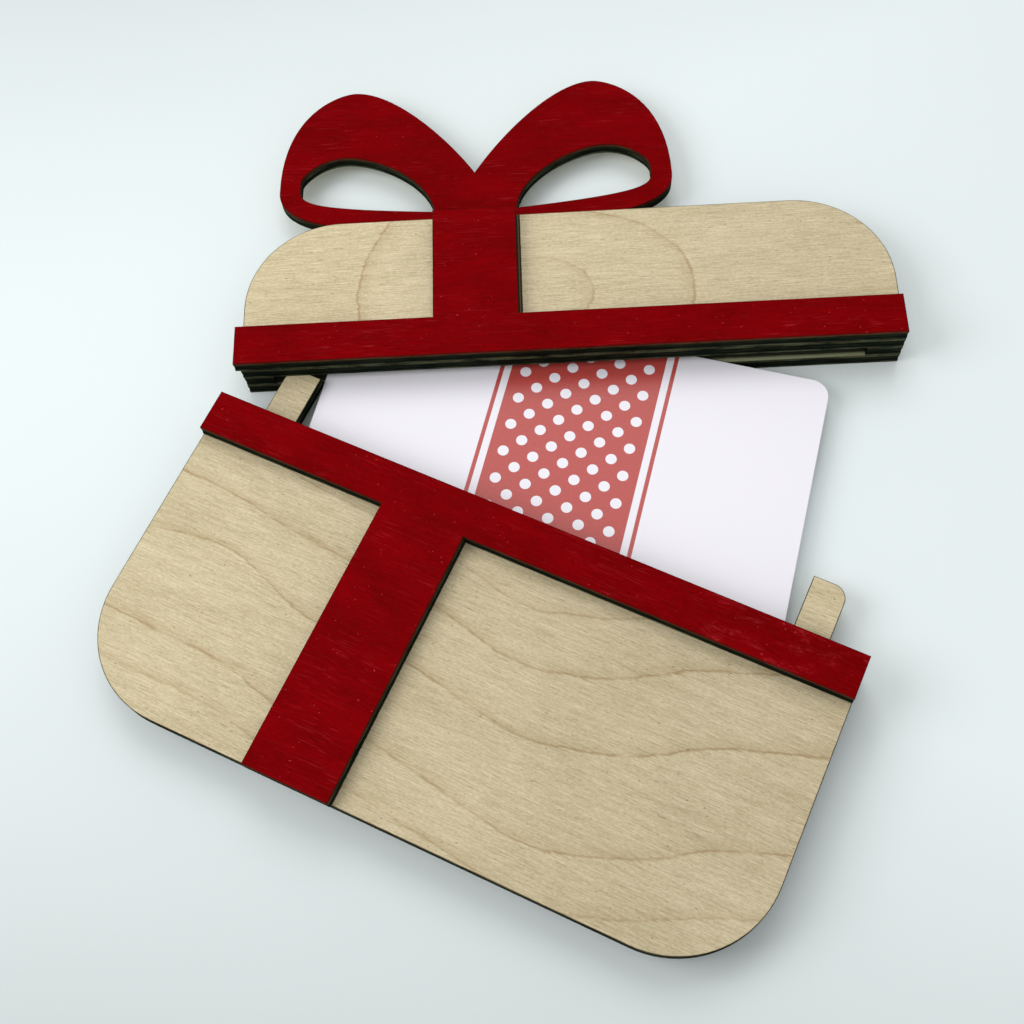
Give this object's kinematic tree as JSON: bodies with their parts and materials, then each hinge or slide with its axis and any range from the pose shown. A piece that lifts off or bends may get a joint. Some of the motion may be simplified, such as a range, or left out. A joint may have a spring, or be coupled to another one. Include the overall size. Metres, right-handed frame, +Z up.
{
  "type": "gift card holder",
  "caption": "Flat wooden gift card holder shaped like a wrapped present: a base and a lid, each with a card pocket between plywood panels, red ribbons and a bow with two loops.",
  "frame": {"origin": "centre of the base's back face, which lies on the table", "axes": "+X along the base's mating edge, with the upright ribbon on the -X side; +Y from the base towards the lid and the bow; +Z up from the table, through the four layers"},
  "size_m": [0.1318, 0.1438, 0.0104],
  "materials": {
    "birch_plywood": "matt",
    "red_stained_plywood": "satin",
    "card": "satin"
  },
  "bodies": {
    "base": {"base_back_panel": "birch_plywood", "base_spacer": "birch_plywood", "base_front_panel": "birch_plywood", "base_ribbon": "red_stained_plywood"},
    "lid": {"lid_back_panel": "birch_plywood", "lid_spacer": "birch_plywood", "bow": "red_stained_plywood", "lid_front_panel": "birch_plywood", "lid_ribbon": "red_stained_plywood"},
    "card": {"gift_card": "card"}
  },
  "joints": [
    {"name": "lid_swing", "type": "hinge", "parent": "base", "child": "lid", "pos_m": [-0.06925, 0.028, 0], "axis": [0, 0, 1], "range_deg": [-26.5, 0]},
    {"name": "card_seat", "type": "hinge", "parent": "base", "child": "card", "pos_m": [-0.15398, 0.01664, 0], "axis": [0, 0, 1], "range_deg": [-10.38, 0]}
  ],
  "couplings": [
    {"joint": "card_seat", "follows": "lid_swing", "ratio": 0.39157}
  ]
}
